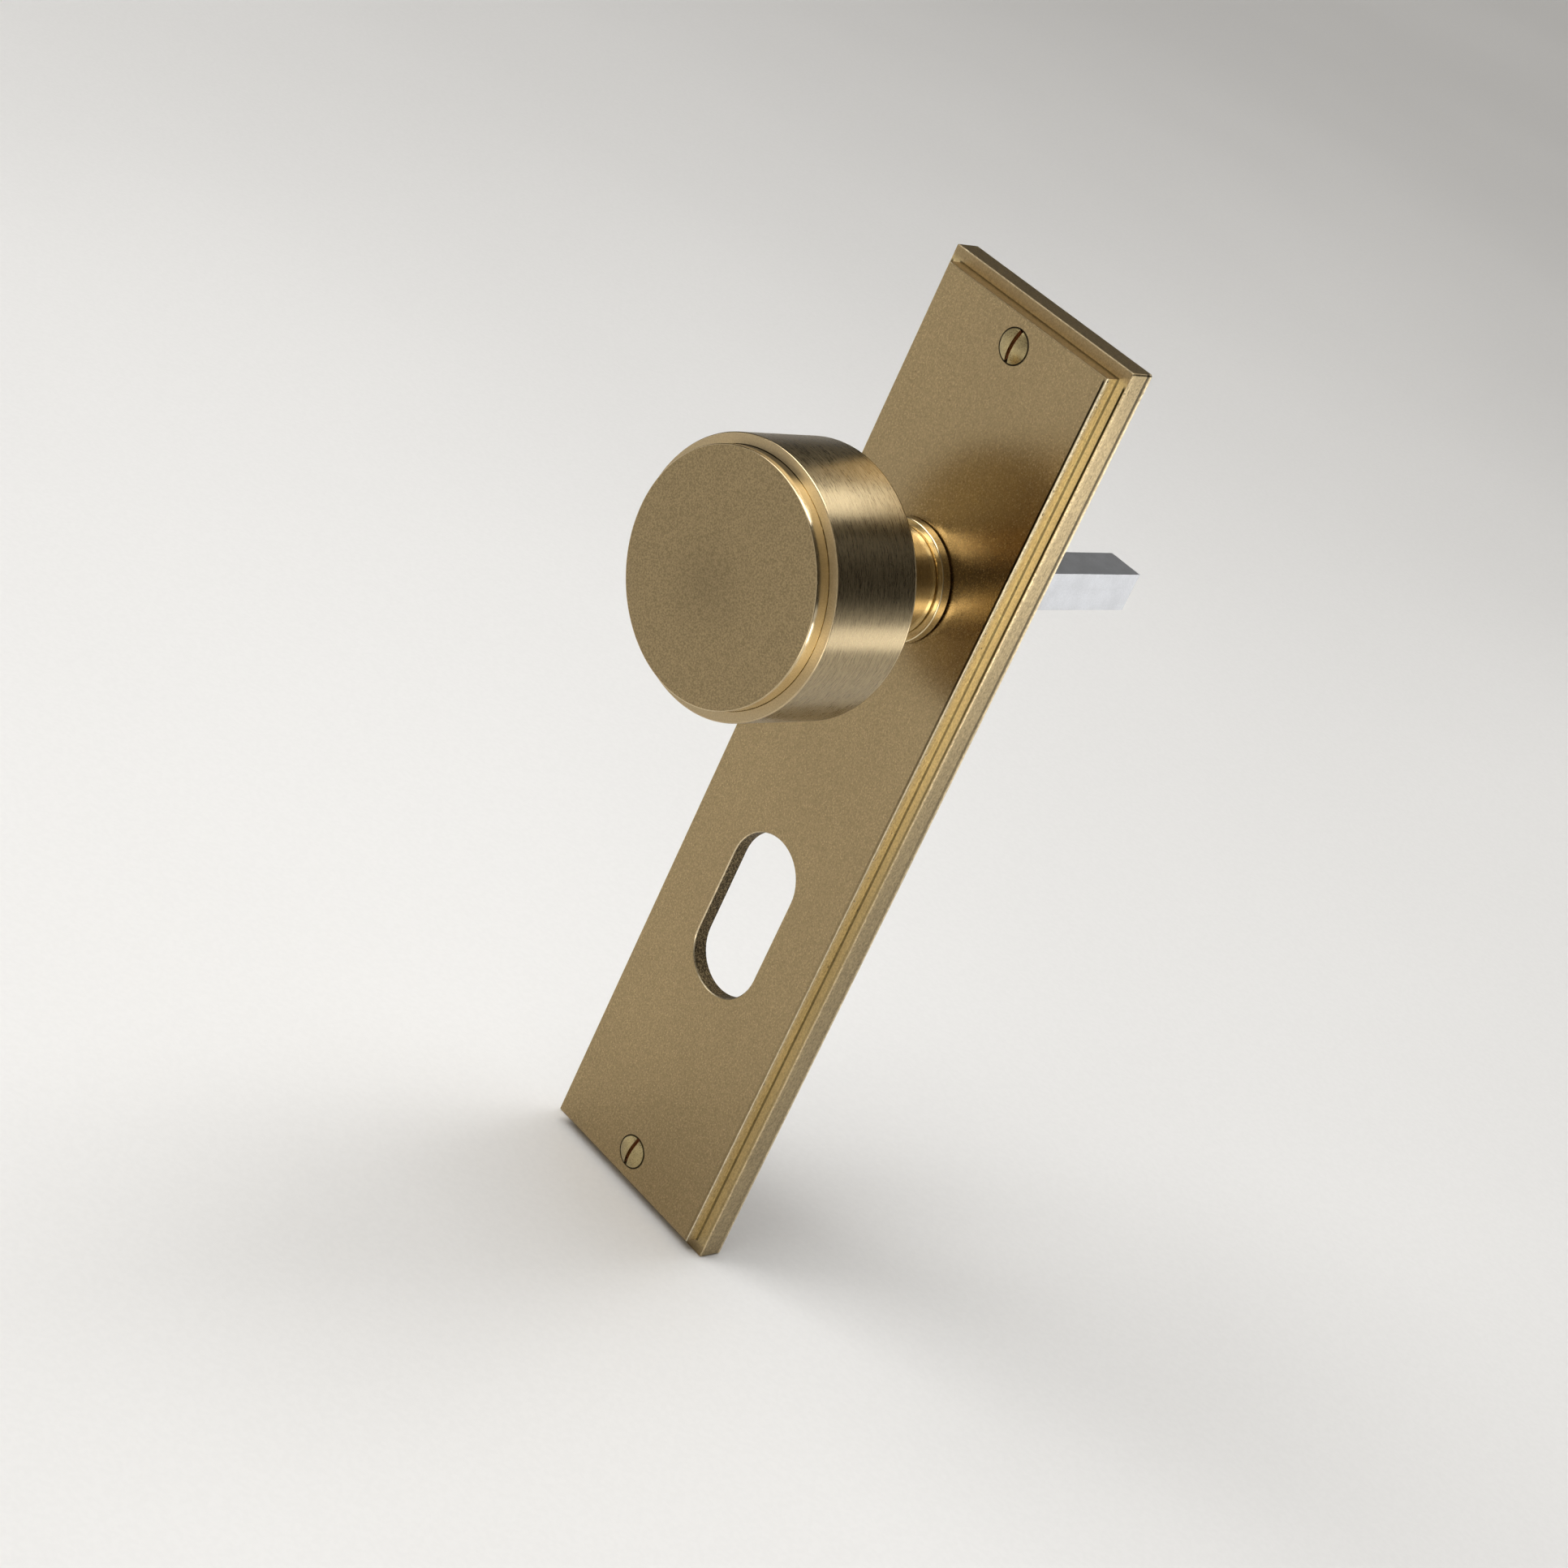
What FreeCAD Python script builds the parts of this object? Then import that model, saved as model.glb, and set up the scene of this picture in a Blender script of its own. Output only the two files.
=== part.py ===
import FreeCAD, Part
import math
import os

# Door knob on a long stepped backplate, in millimetres.
# +Z is up along the plate, +X is to the right seen from the front, and -Y points out of the door.
# The origin is on the knob's axis, at the plate's back face, where the plate meets the door.

# Backplate
PLATE_WIDTH = 47.0
PLATE_TOP = 56.0
PLATE_BOTTOM = 140.0
LEDGE_THICKNESS = 5.2
LEDGE_WIDTH = 2.5
FIELD_RISE = 3.1
FACE_WALL = 3.3
RECESS_INSET = 0.5
RECESS_CORNER_RADIUS = 2.0
CORNER_EASE = 0.4
EDGE_EASE = 0.2

# Cylinder cut-out
CUTOUT_WIDTH = 17.0
CUTOUT_LENGTH = 35.0
CUTOUT_DROP = 75.0

# Fixing screws, raised countersunk and slotted
SCREW_INSET = 8.0
SCREW_RADIUS = 1.75
SCREW_HEAD_RADIUS = 3.3
SCREW_HEAD_RISE = 0.8
SCREW_HEAD_GAP = 0.12
SCREW_HOLE_GAP = 0.2
SCREW_BOSS_WALL = 2.2
SCREW_NECK_END = 0.4
SCREW_SHANK_RELIEF = 0.25
SCREW_SHANK_LENGTH = 8.0
SCREW_POINT = 3.0
THREAD_PITCH = 1.3
THREAD_TURNS = 7
THREAD_DEPTH = 0.65
THREAD_CREST_SPREAD = 0.4
SLOT_WIDTH = 0.8
SLOT_DEPTH = 1.5
TOP_SLOT_ANGLE = 3.5
BOTTOM_SLOT_ANGLE = 4.6

# Fits
RUNNING_GAP = 0.05
PRESS_GAP = 0.02
WASHER_GAP = 0.1

# Neck and collar
NECK_RADIUS = 10.3
NECK_LENGTH = 21.7
NECK_ROUND = 0.25
NECK_SHOULDER = 2.3
NECK_GROOVE_WIDTH = 0.25
NECK_GROOVE_DEPTH = 0.4
COLLAR_STEP = 1.35
COLLAR_THICKNESS = 2.15
COLLAR_ROUND = 0.3

# Bearing in the plate
BUSH_WALL = 1.45
BOSS_WALL = 1.5
BOSS_SETBACK = 1.9
THRUST_WASHER_THICKNESS = 0.4
THRUST_WASHER_INSET = 0.65
SHANK_FLAT_DEPTH = 1.5
SHANK_OVERRUN = 1.2
SHANK_CHAMFER = 0.4

# Knob head
KNOB_RADIUS = 25.0
KNOB_LENGTH = 20.3
KNOB_REAR_ROUND = 0.8
KNOB_LEDGE = 2.1
SHELL_REAR_WALL = 6.0
CAP_RISE = 2.9
CAP_SKIRT = 6.0
CAP_FRONT_WALL = 3.2
CAP_SIDE_WALL = 3.4
CAP_SEAT_WIDTH = 0.95
SEAL_SECTION_RADIUS = 0.5
SEAL_GROOVE_WIDTH = 1.2
SEAL_FROM_SEAT = 2.9

# How the head is held on the neck
STUD_RADIUS = 6.0
STUD_OVERRUN = 1.0
THREAD_FIT_GAP = 0.04
NUT_WALL = 3.0
NUT_THICKNESS = 5.0
LOCK_WASHER_THICKNESS = 2.0
LOCK_WASHER_RIM = 1.2
LOCK_WASHER_SPLIT = 1.0
DRIVE_PIN_COVER = 0.65
DRIVE_PIN_SINK = 4.0

# Spindle and its grub screw
SPINDLE_SIZE = 8.0
SPINDLE_REACH = 55.0
SPINDLE_CHAMFER = 0.6
SOCKET_END_WALL = 7.8
GRUB_RADIUS = 2.5
GRUB_FROM_END = 4.0
GRUB_SINK = 0.4
GRUB_SOCKET = 2.5
GRUB_SOCKET_DEPTH = 2.5

# Return spring round the boss, one leg held by the plate and the other by the driver
SPRING_TURNS = 2
SPRING_TURN_GAP = 0.45
SPRING_END_GAP = 0.15
SPRING_BOSS_GAP = 0.15
SPRING_LEG_GAP = 0.15
SPRING_BEND_RADIUS = 2.0
SPRING_LEG_SETBACK = 0.8
BIARCS_PER_TURN = 4
POST_RADIUS = 1.0
POST_FROM_LEG_END = 0.3
POST_COVER = 0.35

# Driver plate, its stops and the retaining ring
STOP_ANGLE = 60.0
STOP_GAP = 0.05
STOP_ARM_WIDTH = 6.0
STOP_PIN_RADIUS = 1.5
STOP_PIN_SETBACK = 0.5
SPRING_PIN_GAP = 0.5
PIN_SINK = 1.3
DRIVER_THICKNESS = 1.2
DRIVER_PIN_GAP = 1.0
FORK_ARM_WIDTH = 7.0
FORK_TAB_THICKNESS = 1.2
FORK_TAB_LENGTH = 2.5
FORK_TAB_COVER = 0.35
POCKET_FLOOR_WALL = 2.0
POCKET_END_GAP = 1.0
CLIP_THICKNESS = 1.0
CLIP_WIDTH = 2.3
CLIP_GROOVE_DEPTH = 0.6
CLIP_GROOVE_PLAY = 0.1
CLIP_OPENING = 50.0
CLIP_EAR_RADIUS = 1.6
CLIP_EAR_HOLE_RADIUS = 0.75

# Radii that follow from one another, from the shank out to the collar
SHANK_RADIUS = NECK_RADIUS - NECK_SHOULDER
COLLAR_RADIUS = NECK_RADIUS + COLLAR_STEP
THRUST_WASHER_RADIUS = COLLAR_RADIUS - THRUST_WASHER_INSET
WASHER_BORE = SHANK_RADIUS + WASHER_GAP
BUSH_BORE = SHANK_RADIUS + RUNNING_GAP
BUSH_RADIUS = BUSH_BORE + BUSH_WALL
BOSS_RADIUS = BUSH_RADIUS + BOSS_WALL

# Radii in the knob head
CAP_RADIUS = KNOB_RADIUS - KNOB_LEDGE
CAP_MOUTH_RADIUS = CAP_RADIUS + RUNNING_GAP
SHELL_BORE = CAP_MOUTH_RADIUS - CAP_SEAT_WIDTH
STUD_HOLE_RADIUS = STUD_RADIUS + THREAD_FIT_GAP
NUT_ACROSS_FLATS = 2 * (STUD_RADIUS + NUT_WALL)
DRIVE_PIN_CIRCLE = (NECK_RADIUS + STUD_RADIUS) / 2
DRIVE_PIN_RADIUS = (NECK_RADIUS - STUD_RADIUS) / 2 - DRIVE_PIN_COVER

# Places along the knob's axis, all measured outwards from the back face
FACE = LEDGE_THICKNESS + FIELD_RISE
RECESS_FLOOR = FACE - FACE_WALL
POCKET_FLOOR = FACE - POCKET_FLOOR_WALL
PIN_ROOT = POCKET_FLOOR + PIN_SINK
COLLAR_REAR = FACE + THRUST_WASHER_THICKNESS
COLLAR_FRONT = COLLAR_REAR + COLLAR_THICKNESS
NECK_START = COLLAR_FRONT + NECK_GROOVE_WIDTH
KNOB_REAR = NECK_START + NECK_LENGTH
KNOB_RIM = KNOB_REAR + KNOB_LENGTH
CAP_FACE = KNOB_RIM + CAP_RISE
CAP_SEAT = KNOB_RIM - CAP_SKIRT
SHELL_FLOOR = KNOB_REAR + SHELL_REAR_WALL
NUT_REAR = SHELL_FLOOR + LOCK_WASHER_THICKNESS
NUT_FRONT = NUT_REAR + NUT_THICKNESS
STUD_END = NUT_FRONT + STUD_OVERRUN
SPINDLE_FRONT = KNOB_REAR - SOCKET_END_WALL
GRUB_OUT = SPINDLE_FRONT - GRUB_FROM_END
DRIVER_FRONT = BOSS_SETBACK - THRUST_WASHER_THICKNESS
DRIVER_REAR = DRIVER_FRONT - DRIVER_THICKNESS
CLIP_REAR = DRIVER_REAR - CLIP_THICKNESS
CLIP_GROOVE_REAR = CLIP_REAR - CLIP_GROOVE_PLAY
SHANK_END = CLIP_GROOVE_REAR - SHANK_OVERRUN

# Screw places up the plate
SCREW_TOP = PLATE_TOP - SCREW_INSET
SCREW_BOTTOM = SCREW_INSET - PLATE_BOTTOM

# The spring's wire is as thick as the pocket and the gaps between its turns allow
SPRING_ROOM = POCKET_FLOOR - DRIVER_FRONT - 2 * SPRING_END_GAP
WIRE_RADIUS = (SPRING_ROOM - SPRING_TURNS * SPRING_TURN_GAP) / (2 * (SPRING_TURNS + 1))
COIL_FRONT = POCKET_FLOOR - SPRING_END_GAP - WIRE_RADIUS
COIL_REAR = DRIVER_FRONT + SPRING_END_GAP + WIRE_RADIUS

# The coil clears the boss when the knob winds it up, and the pins and posts when it unwinds
STOP_SHARE = STOP_ANGLE / 360.0
WOUND_RADIUS = BOSS_RADIUS + SPRING_BOSS_GAP + WIRE_RADIUS
COIL_RADIUS = WOUND_RADIUS * (SPRING_TURNS + STOP_SHARE) / SPRING_TURNS
UNWOUND_RADIUS = COIL_RADIUS * SPRING_TURNS / (SPRING_TURNS - STOP_SHARE)
STOP_PIN_CIRCLE = UNWOUND_RADIUS + WIRE_RADIUS + SPRING_PIN_GAP + STOP_PIN_RADIUS
ARM_REACH = STOP_PIN_CIRCLE + STOP_PIN_RADIUS
POCKET_RADIUS = ARM_REACH + POCKET_END_GAP
DRIVER_RADIUS = STOP_PIN_CIRCLE - STOP_PIN_RADIUS - DRIVER_PIN_GAP
LEG_REACH = ARM_REACH - SPRING_LEG_SETBACK
POST_CIRCLE = LEG_REACH - POST_FROM_LEG_END - POST_RADIUS

OUTWARDS = FreeCAD.Vector(0, -1, 0)
UP = FreeCAD.Vector(0, 0, 1)


def vec(x, y, z):
    return FreeCAD.Vector(x, y, z)


def disc(radius, near, far, x=0.0, z=0.0):
    """A cylinder that runs from near to far out of the back face."""
    return Part.makeCylinder(radius, far - near, vec(x, -near, z), OUTWARDS)


def ring(outer, inner, near, far):
    """A flat ring round the knob's axis."""
    return disc(outer, near, far).cut(disc(inner, near, far))


def slab(width, near, far, low, high, x=0.0):
    """A box that is centred on x, from near to far outwards and from low to high in Z."""
    return Part.makeBox(width, far - near, high - low, vec(x - width / 2, -far, low))


def turned(profile):
    """A solid of revolution round the knob's axis. The profile lists radius and distance outwards."""
    points = [vec(radius, -out, 0) for radius, out in profile]
    points.append(points[0])
    face = Part.Face(Part.makePolygon(points))
    return face.revolve(vec(0, 0, 0), vec(0, 1, 0), 360)


def prism(corners, near, far):
    """A prism over a list of x and z corners, from near to far outwards."""
    points = [vec(x, -near, z) for x, z in corners]
    points.append(points[0])
    return Part.Face(Part.makePolygon(points)).extrude(vec(0, near - far, 0))


def hexagon(across_flats, near, far):
    """A six-sided prism round the knob's axis."""
    corner_radius = across_flats / math.sqrt(3)
    angles = [math.radians(60 * corner) for corner in range(6)]
    corners = [(corner_radius * math.cos(a), corner_radius * math.sin(a)) for a in angles]
    return prism(corners, near, far)


def obround(width, length, near, far, z):
    """A round-ended slot that stands upright, centred at height z."""
    radius = width / 2
    straight = length / 2 - radius
    right_low = vec(radius, -near, z - straight)
    right_high = vec(radius, -near, z + straight)
    left_high = vec(-radius, -near, z + straight)
    left_low = vec(-radius, -near, z - straight)
    crown = vec(0, -near, z + length / 2)
    foot = vec(0, -near, z - length / 2)
    edges = [
        Part.LineSegment(right_low, right_high).toShape(),
        Part.Arc(right_high, crown, left_high).toShape(),
        Part.LineSegment(left_high, left_low).toShape(),
        Part.Arc(left_low, foot, right_low).toShape(),
    ]
    return Part.Face(Part.Wire(edges)).extrude(vec(0, near - far, 0))


def turn_about_axis(shape, degrees):
    """A copy of the shape, turned round the knob's axis from upright towards the right."""
    copy = shape.copy()
    copy.rotate(vec(0, 0, 0), vec(0, 1, 0), degrees)
    return copy


def circles_at(shape, radius, out):
    """The circular edges round the knob's axis with this radius, this far out."""
    found = []
    for edge in shape.Edges:
        if not isinstance(edge.Curve, Part.Circle):
            continue
        centre = edge.Curve.Center
        on_axis = math.hypot(centre.x, centre.z) < 1e-6
        if on_axis and abs(edge.Curve.Radius - radius) < 1e-6 and abs(centre.y + out) < 1e-6:
            found.append(edge)
    return found


def edges_where(shape, test):
    """The edges whose ends all pass the test."""
    return [edge for edge in shape.Edges if all(test(v.Point) for v in edge.Vertexes)]


def runs_outwards(edge):
    """Whether an edge of a block stands square to the back face."""
    first = edge.Vertexes[0].Point
    last = edge.Vertexes[-1].Point
    return abs(first.x - last.x) < 1e-6 and abs(first.z - last.z) < 1e-6


def pair_across(x, z):
    """The same place on the left and on the right of the knob's axis."""
    return [(-x, z), (x, z)]


def stop_pin_places():
    """The stop pins stand just past where the arm's sides are at the ends of the knob's turn."""
    reach = STOP_ARM_WIDTH / 2 + STOP_PIN_RADIUS + STOP_GAP
    spread = math.radians(STOP_ANGLE) + math.asin(reach / STOP_PIN_CIRCLE)
    return pair_across(STOP_PIN_CIRCLE * math.sin(spread), -STOP_PIN_CIRCLE * math.cos(spread))


def spring_post_places():
    """The posts stand one each side of the leg that the plate holds."""
    return pair_across(WIRE_RADIUS + SPRING_LEG_GAP + POST_RADIUS, POST_CIRCLE)


def plate_blank():
    """The outer form: a ledge all round and a raised field, with the arrises eased."""
    base = slab(PLATE_WIDTH, 0, LEDGE_THICKNESS, -PLATE_BOTTOM, PLATE_TOP)
    base = base.makeFillet(CORNER_EASE, [e for e in base.Edges if runs_outwards(e)])
    low = LEDGE_WIDTH - PLATE_BOTTOM
    high = PLATE_TOP - LEDGE_WIDTH
    field = slab(PLATE_WIDTH - 2 * LEDGE_WIDTH, 0, FACE, low, high)
    blank = base.fuse(field).removeSplitter()
    blank = blank.makeFillet(EDGE_EASE, edges_where(blank, lambda p: abs(p.y + FACE) < 1e-6))
    return blank.makeChamfer(EDGE_EASE, edges_where(blank, on_ledge_rim))


def on_ledge_rim(point):
    """Whether a point is where the ledge's front meets the side of the plate."""
    half_width = PLATE_WIDTH / 2 - CORNER_EASE
    beside = abs(point.x) > half_width - 1e-6
    above = point.z > PLATE_TOP - CORNER_EASE - 1e-6
    below = point.z < CORNER_EASE - PLATE_BOTTOM + 1e-6
    return abs(point.y + LEDGE_THICKNESS) < 1e-6 and (beside or above or below)


def rear_recess():
    """The hollow behind the plate's face, round the bosses, with the deeper spring pocket."""
    rim = LEDGE_WIDTH + RECESS_INSET
    hollow = slab(PLATE_WIDTH - 2 * rim, 0, RECESS_FLOOR, rim - PLATE_BOTTOM, PLATE_TOP - rim)
    hollow = hollow.makeFillet(RECESS_CORNER_RADIUS, [e for e in hollow.Edges if runs_outwards(e)])
    hollow = hollow.fuse(disc(POCKET_RADIUS, 0, POCKET_FLOOR))
    hollow = hollow.cut(disc(BOSS_RADIUS, BOSS_SETBACK, POCKET_FLOOR))
    for z in (SCREW_TOP, SCREW_BOTTOM):
        hollow = hollow.cut(disc(SCREW_HEAD_RADIUS + SCREW_BOSS_WALL, 0, POCKET_FLOOR, z=z))
    return hollow


def screw_hole(z):
    """A clearance hole, countersunk so that the screw's head seats level with the face."""
    mouth = SCREW_HEAD_RADIUS + SCREW_HEAD_GAP
    bore = SCREW_RADIUS + SCREW_HOLE_GAP
    sink = Part.makeCone(mouth, bore, mouth - bore, vec(0, -FACE, z), OUTWARDS * -1)
    return disc(bore, 0, FACE, z=z).fuse(sink)


def cutout_mouth(plate):
    """The edges of the cylinder cut-out where it opens through the plate's face."""
    half_width = CUTOUT_WIDTH / 2 + 1e-6
    half_length = CUTOUT_LENGTH / 2 + 1e-6

    def on_mouth(p):
        beside = abs(p.x) < half_width and abs(p.z + CUTOUT_DROP) < half_length
        return beside and abs(p.y + FACE) < 1e-6

    return edges_where(plate, on_mouth)


def make_backplate():
    plate = plate_blank().cut(rear_recess())
    plate = plate.cut(disc(BUSH_RADIUS + PRESS_GAP, 0, FACE))
    for z in (SCREW_TOP, SCREW_BOTTOM):
        plate = plate.cut(screw_hole(z))
    plate = plate.cut(obround(CUTOUT_WIDTH, CUTOUT_LENGTH, 0, FACE, -CUTOUT_DROP))
    plate = plate.makeChamfer(EDGE_EASE, cutout_mouth(plate))
    for x, z in stop_pin_places():
        plate = plate.cut(disc(STOP_PIN_RADIUS + PRESS_GAP, POCKET_FLOOR, PIN_ROOT, x, z))
    for x, z in spring_post_places():
        plate = plate.cut(disc(POST_RADIUS + PRESS_GAP, POCKET_FLOOR, PIN_ROOT, x, z))
    return plate


def screw_profile():
    """Radius and distance outwards for a wood screw, from its head's edge down to its point."""
    shank = SCREW_RADIUS - SCREW_SHANK_RELIEF
    root = SCREW_RADIUS - THREAD_DEPTH
    profile = [
        (0.0, FACE),
        (SCREW_HEAD_RADIUS, FACE),
        (SCREW_RADIUS, FACE - (SCREW_HEAD_RADIUS - SCREW_RADIUS)),
        (SCREW_RADIUS, SCREW_SHANK_RELIEF - SCREW_NECK_END),
        (shank, -SCREW_NECK_END),
        (shank, -SCREW_SHANK_LENGTH),
        (root, root - shank - SCREW_SHANK_LENGTH),
    ]
    for turn in range(THREAD_TURNS):
        middle = SCREW_SHANK_LENGTH + (turn + 1) * THREAD_PITCH
        profile.append((root, THREAD_CREST_SPREAD - middle))
        profile.append((SCREW_RADIUS, -middle))
        profile.append((root, -THREAD_CREST_SPREAD - middle))
    end = SCREW_SHANK_LENGTH + (THREAD_TURNS + 1) * THREAD_PITCH
    profile.append((root, -end))
    profile.append((0.0, -end - SCREW_POINT))
    return profile


def wood_screw(z, slot_angle):
    """A raised countersunk screw at height z, its slot leaning from upright to the right."""
    dome_radius = (SCREW_HEAD_RADIUS ** 2 + SCREW_HEAD_RISE ** 2) / (2 * SCREW_HEAD_RISE)
    top = FACE + SCREW_HEAD_RISE
    ball = Part.makeSphere(dome_radius, vec(0, dome_radius - top, 0))
    screw = turned(screw_profile()).fuse(ball.common(disc(SCREW_HEAD_RADIUS, FACE, top)))
    slot = slab(SLOT_WIDTH, top - SLOT_DEPTH, top, -SCREW_HEAD_RADIUS, SCREW_HEAD_RADIUS)
    screw = screw.cut(turn_about_axis(slot, slot_angle)).removeSplitter()
    screw.translate(vec(0, 0, z))
    return screw


def make_fixing_screws():
    top = wood_screw(SCREW_TOP, TOP_SLOT_ANGLE)
    bottom = wood_screw(SCREW_BOTTOM, BOTTOM_SLOT_ANGLE)
    return Part.makeCompound([top, bottom])


def make_bearing_bush():
    return ring(BUSH_RADIUS, BUSH_BORE, BOSS_SETBACK, FACE)


def make_thrust_washer():
    return ring(THRUST_WASHER_RADIUS, WASHER_BORE, FACE, COLLAR_REAR)


def make_bearing_washer():
    return ring(BOSS_RADIUS - WASHER_GAP, WASHER_BORE, DRIVER_FRONT, BOSS_SETBACK)


def make_stop_pins():
    places = stop_pin_places()
    return Part.makeCompound([disc(STOP_PIN_RADIUS, STOP_PIN_SETBACK, PIN_ROOT, x, z) for x, z in places])


def make_spring_posts():
    """Short posts that hold the plate's leg and stay in front of the driver's tabs."""
    rear = COIL_FRONT - WIRE_RADIUS - POST_COVER
    places = spring_post_places()
    return Part.makeCompound([disc(POST_RADIUS, rear, PIN_ROOT, x, z) for x, z in places])


def arc_from_tangent(start, tangent, end):
    """The arc from start to end that leaves start along the tangent."""
    chord = end - start
    side = chord - tangent * chord.dot(tangent)
    side.normalize()
    radius = chord.dot(chord) / (2 * chord.dot(side))
    centre = start + side * radius
    middle = (start + end) * 0.5 - centre
    middle.normalize()
    return Part.Arc(start, centre + middle * radius, end).toShape()


def biarc(start, start_tangent, end, end_tangent):
    """Two arcs that join smoothly and leave and arrive along the two tangents."""
    span = end - start
    both = start_tangent + end_tangent
    turn = 2 * (1 - start_tangent.dot(end_tangent))
    along = span.dot(both)
    reach = (math.sqrt(along ** 2 + turn * span.dot(span)) - along) / turn
    joint = (start + start_tangent * reach + end - end_tangent * reach) * 0.5
    return [arc_from_tangent(start, start_tangent, joint), arc_from_tangent(end, end_tangent * -1, joint)]


def spring_stations():
    """Points and directions along the wire, from the plate's leg round the coil to the driver's."""
    bend_height = math.sqrt(COIL_RADIUS ** 2 + 2 * COIL_RADIUS * SPRING_BEND_RADIUS)
    lean = math.atan2(SPRING_BEND_RADIUS, bend_height)
    first = math.pi / 2 + lean
    sweep = 2 * math.pi * SPRING_TURNS - 2 * lean
    climb = (COIL_FRONT - COIL_REAR) / sweep
    stations = [
        (vec(0, -COIL_FRONT, LEG_REACH), UP * -1),
        (vec(0, -COIL_FRONT, bend_height), UP * -1),
    ]
    steps = SPRING_TURNS * BIARCS_PER_TURN
    for step in range(steps + 1):
        angle = first + sweep * step / steps
        x = COIL_RADIUS * math.cos(angle)
        z = COIL_RADIUS * math.sin(angle)
        heading = vec(-z, climb, x)
        heading.normalize()
        stations.append((vec(x, climb * (angle - first) - COIL_FRONT, z), heading))
    stations.append((vec(0, -COIL_REAR, bend_height), UP))
    stations.append((vec(0, -COIL_REAR, LEG_REACH), UP))
    return stations


def least_gap_to_itself(path):
    """The least space between one stretch of the wire and another, more than two bends away."""
    spacing = WIRE_RADIUS / 2
    points = path.discretize(Distance=spacing)
    skip = int(4 * math.pi * WIRE_RADIUS / spacing)
    least = float("inf")
    for i, one in enumerate(points):
        for other in points[i + skip:]:
            least = min(least, one.distanceToPoint(other))
    return least - 2 * WIRE_RADIUS


def make_return_spring():
    """A torsion spring of one unbroken wire, with both legs standing straight out at the top."""
    stations = spring_stations()
    edges = []
    for (start, start_tangent), (end, end_tangent) in zip(stations, stations[1:]):
        if (end - start).cross(start_tangent).Length < 1e-9:
            edges.append(Part.LineSegment(start, end).toShape())
        else:
            edges.extend(biarc(start, start_tangent, end, end_tangent))
    path = Part.Wire(Part.__sortEdges__(edges))
    section = Part.Wire(Part.makeCircle(WIRE_RADIUS, stations[0][0], UP))
    spring = path.makePipeShell([section], True, False)
    expected = math.pi * WIRE_RADIUS ** 2 * path.Length
    print("return spring: volume", round(spring.Volume, 3), "expected", round(expected, 3))
    print("return spring: least gap to itself", round(least_gap_to_itself(path), 3), "mm")
    return spring


def make_knob_shell():
    """The cylindrical shell of the knob, open in front for the cap."""
    shell = turned([
        (STUD_HOLE_RADIUS, KNOB_REAR),
        (KNOB_RADIUS, KNOB_REAR),
        (KNOB_RADIUS, KNOB_RIM),
        (CAP_MOUTH_RADIUS, KNOB_RIM),
        (CAP_MOUTH_RADIUS, CAP_SEAT),
        (SHELL_BORE, CAP_SEAT),
        (SHELL_BORE, SHELL_FLOOR),
        (STUD_HOLE_RADIUS, SHELL_FLOOR),
    ])
    shell = shell.makeFillet(KNOB_REAR_ROUND, circles_at(shell, KNOB_RADIUS, KNOB_REAR))
    shell = shell.makeChamfer(EDGE_EASE, circles_at(shell, KNOB_RADIUS, KNOB_RIM))
    for x, z in pair_across(DRIVE_PIN_CIRCLE, 0.0):
        far = KNOB_REAR + DRIVE_PIN_SINK
        shell = shell.cut(disc(DRIVE_PIN_RADIUS + PRESS_GAP, KNOB_REAR, far, x, z))
    return shell


def make_face_cap():
    """The raised front disc, a shallow cup whose skirt drops into the mouth of the shell."""
    skirt_bore = CAP_RADIUS - CAP_SIDE_WALL
    cap = turned([
        (0.0, CAP_FACE - CAP_FRONT_WALL),
        (skirt_bore, CAP_FACE - CAP_FRONT_WALL),
        (skirt_bore, CAP_SEAT),
        (CAP_RADIUS, CAP_SEAT),
        (CAP_RADIUS, CAP_FACE),
        (0.0, CAP_FACE),
    ])
    cap = cap.makeFillet(EDGE_EASE, circles_at(cap, CAP_RADIUS, CAP_FACE))
    groove_rear = CAP_SEAT + SEAL_FROM_SEAT - SEAL_GROOVE_WIDTH / 2
    groove_root = CAP_RADIUS - 2 * SEAL_SECTION_RADIUS
    return cap.cut(ring(KNOB_RADIUS, groove_root, groove_rear, groove_rear + SEAL_GROOVE_WIDTH))


def make_cap_seal():
    """The rubber ring that grips the cap in the shell, lying in the cap's groove."""
    radius = CAP_RADIUS - SEAL_SECTION_RADIUS + PRESS_GAP
    centre = vec(0, -CAP_SEAT - SEAL_FROM_SEAT, 0)
    return Part.makeTorus(radius, SEAL_SECTION_RADIUS, centre, OUTWARDS)


def shank_between_flats(gap, near, far):
    """The shank's section where its two sides are flat, grown by a gap."""
    width = 2 * (SHANK_RADIUS - SHANK_FLAT_DEPTH + gap)
    radius = SHANK_RADIUS + gap
    return disc(radius, near, far).common(slab(width, near, far, -radius, radius))


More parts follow.
